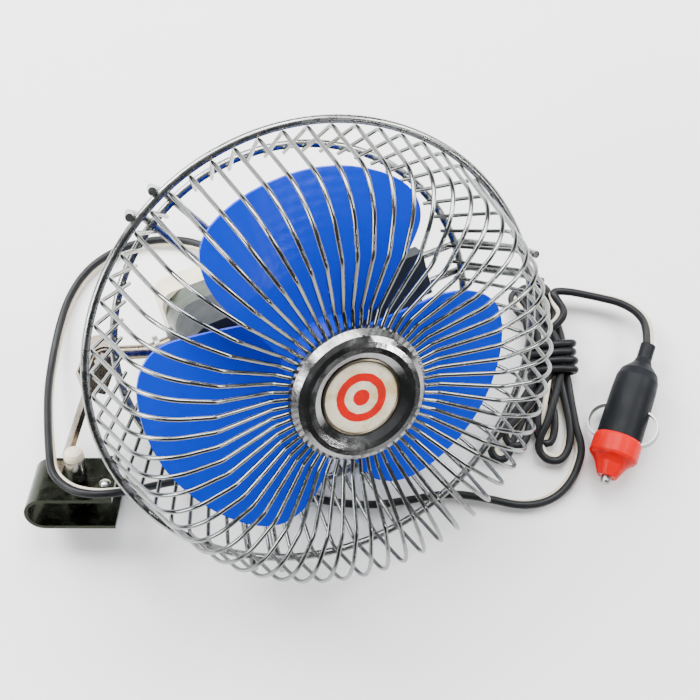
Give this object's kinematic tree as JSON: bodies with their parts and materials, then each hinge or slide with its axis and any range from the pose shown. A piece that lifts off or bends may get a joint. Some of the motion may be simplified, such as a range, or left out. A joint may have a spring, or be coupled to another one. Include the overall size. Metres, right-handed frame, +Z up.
{
  "type": "clamp-on oscillating car fan",
  "caption": "Clamp-on low-voltage fan with a round wire guard, blue paddle blades, oscillating gearbox, tilting arm, screw clamp and tied cord with a vehicle power plug.",
  "frame": {"origin": "centre of the object's box at table level, without the cord, its hank and plug", "axes": "+Z up from the table; the fan lies on its guard, gearbox and clamp; its own axis leans 42.5 degrees from vertical towards -Y and +X; the clamp is at -X and the plug at +X"},
  "size_m": [0.2685, 0.1661, 0.1569],
  "materials": {
    "chrome_wire": "bright plated wire with fine rust at the welds",
    "cap_chrome": "bright plated pressing, lightly pitted",
    "badge_enamel": "aged cream enamel with a plain red ring and dot",
    "plain_steel": "plain steel",
    "stalk_chrome": "plated bar, dulled",
    "clamp_chrome": "plated strip, dulled and scratched",
    "blue_plastic": "glossy bright blue moulded plastic",
    "dark_plastic": "dark grey moulded plastic",
    "band_metal": "bright sheet metal band",
    "cream_plastic": "aged cream moulded plastic",
    "nylon": "dark engineering plastic",
    "brass_parts": "plain brass",
    "copper_wire": "enamelled copper wire",
    "ferrite": "dark ferrite",
    "cord_vinyl": "two-core flat cord, one core black and one cream",
    "plug_black": "satin black moulded plastic",
    "plug_red": "glossy red moulded plastic"
  },
  "bodies": {
    "head": {"front_ring": "chrome_wire", "rear_ring": "chrome_wire", "guard_wires": "chrome_wire", "guard_stay_top": "chrome_wire", "guard_stay_left": "chrome_wire", "guard_stay_right": "chrome_wire", "hub_cap": "cap_chrome", "badge": "badge_enamel", "badge_bezel": "cap_chrome", "hub_plate": "plain_steel", "cap_stud": "plain_steel", "cap_nut": "plain_steel", "motor_can": "plain_steel", "motor_end_cap": "nylon", "front_bearing": "brass_parts", "rear_bearing": "brass_parts", "magnets": "ferrite", "brushes": "brass_parts", "motor_front_cover": "dark_plastic", "motor_band": "band_metal", "gear_cover": "cream_plastic", "motor_plate": "plain_steel", "cover_screws": "plain_steel", "swivel_bush": "nylon", "strain_relief": "nylon", "cord_head_side": "cord_vinyl", "cord_hank": "cord_vinyl", "cord_plug_side": "cord_vinyl", "plug_body": "plug_black", "plug_nose": "plug_red", "plug_side_springs": "plain_steel", "plug_spring": "plain_steel", "plug_fuse": "brass_parts"},
    "rotor": {"impeller": "blue_plastic", "grub_screw": "plain_steel", "rotor_shaft": "plain_steel", "rotor_core": "plain_steel", "windings": "copper_wire", "commutator": "brass_parts", "worm": "nylon"},
    "gear_wheel": {"worm_wheel": "nylon", "wheel_shaft": "plain_steel", "crank_disc": "plain_steel"},
    "stalk": {"post": "stalk_chrome", "post_flange": "plain_steel", "post_collar": "plain_steel"},
    "link": {"crank_link": "plain_steel"},
    "arm": {"yoke": "stalk_chrome", "tilt_bolt": "stalk_chrome", "tilt_nut": "stalk_chrome", "arm_strap": "stalk_chrome", "c_clamp": "clamp_chrome", "jaw_shoe": "clamp_chrome", "jaw_rivet": "clamp_chrome", "clamp_nut": "plain_steel"},
    "pad": {"clamp_pad": "clamp_chrome"},
    "screw": {"clamp_screw": "clamp_chrome", "screw_cap": "cream_plastic"},
    "contact": {"plug_contact": "plain_steel"},
    "switch": {"switch_slider": "nylon"}
  },
  "joints": [
    {"name": "rotor_spin", "type": "hinge", "parent": "head", "child": "rotor", "pos_m": [0.01744, 0.00327, 0.0753], "axis": [0.3459, -0.5803, 0.7373], "continuous": true},
    {"name": "wheel_turn", "type": "hinge", "parent": "head", "child": "gear_wheel", "pos_m": [-0.00401, 0.03627, 0.01775], "axis": [0.9066, 0.4091, -0.1034], "continuous": true},
    {"name": "swing", "type": "hinge", "parent": "head", "child": "stalk", "pos_m": [-0.03906, 0.02085, 0.0363], "axis": [0.9066, 0.4091, -0.1034], "range_deg": [-35, 35], "deforming": ["cord_head_side"]},
    {"name": "link_turn", "type": "hinge", "parent": "stalk", "child": "link", "pos_m": [-0.04664, 0.00998, 0.0332], "axis": [0.9066, 0.4091, -0.1034], "range_deg": [-36, 36]},
    {"name": "tilt", "type": "hinge", "parent": "stalk", "child": "arm", "pos_m": [-0.07332, 0.01084, 0.0445], "axis": [0.3459, -0.5803, 0.7373], "range_deg": [-70, 15], "deforming": ["cord_head_side"]},
    {"name": "pad_slide", "type": "slide", "parent": "arm", "child": "pad", "axis": [0, 0.617, 0.7869], "range_m": [-0.0006, 0.0062]},
    {"name": "screw_turn", "type": "hinge", "parent": "pad", "child": "screw", "pos_m": [-0.08506, -0.03693, 0.0214], "axis": [0, 0.617, 0.7869], "continuous": true},
    {"name": "contact_slide", "type": "slide", "parent": "head", "child": "contact", "axis": [-0.3499, -0.9361, 0.0361], "range_m": [-0.0025, 0], "stiffness_N_per_m": 400, "springref_m": 0.001, "deforming": ["plug_spring"]},
    {"name": "switch_slide", "type": "slide", "parent": "head", "child": "switch", "axis": [0.9066, 0.4091, -0.1034], "range_m": [0, 0.004]}
  ],
  "couplings": [
    {"joint": "wheel_turn", "follows": "rotor_spin", "ratio": 0.033333},
    {"joint": "link_turn", "follows": "swing", "ratio": -1},
    {"joint": "screw_turn", "follows": "pad_slide", "rad_per_m": 5026.5}
  ]
}
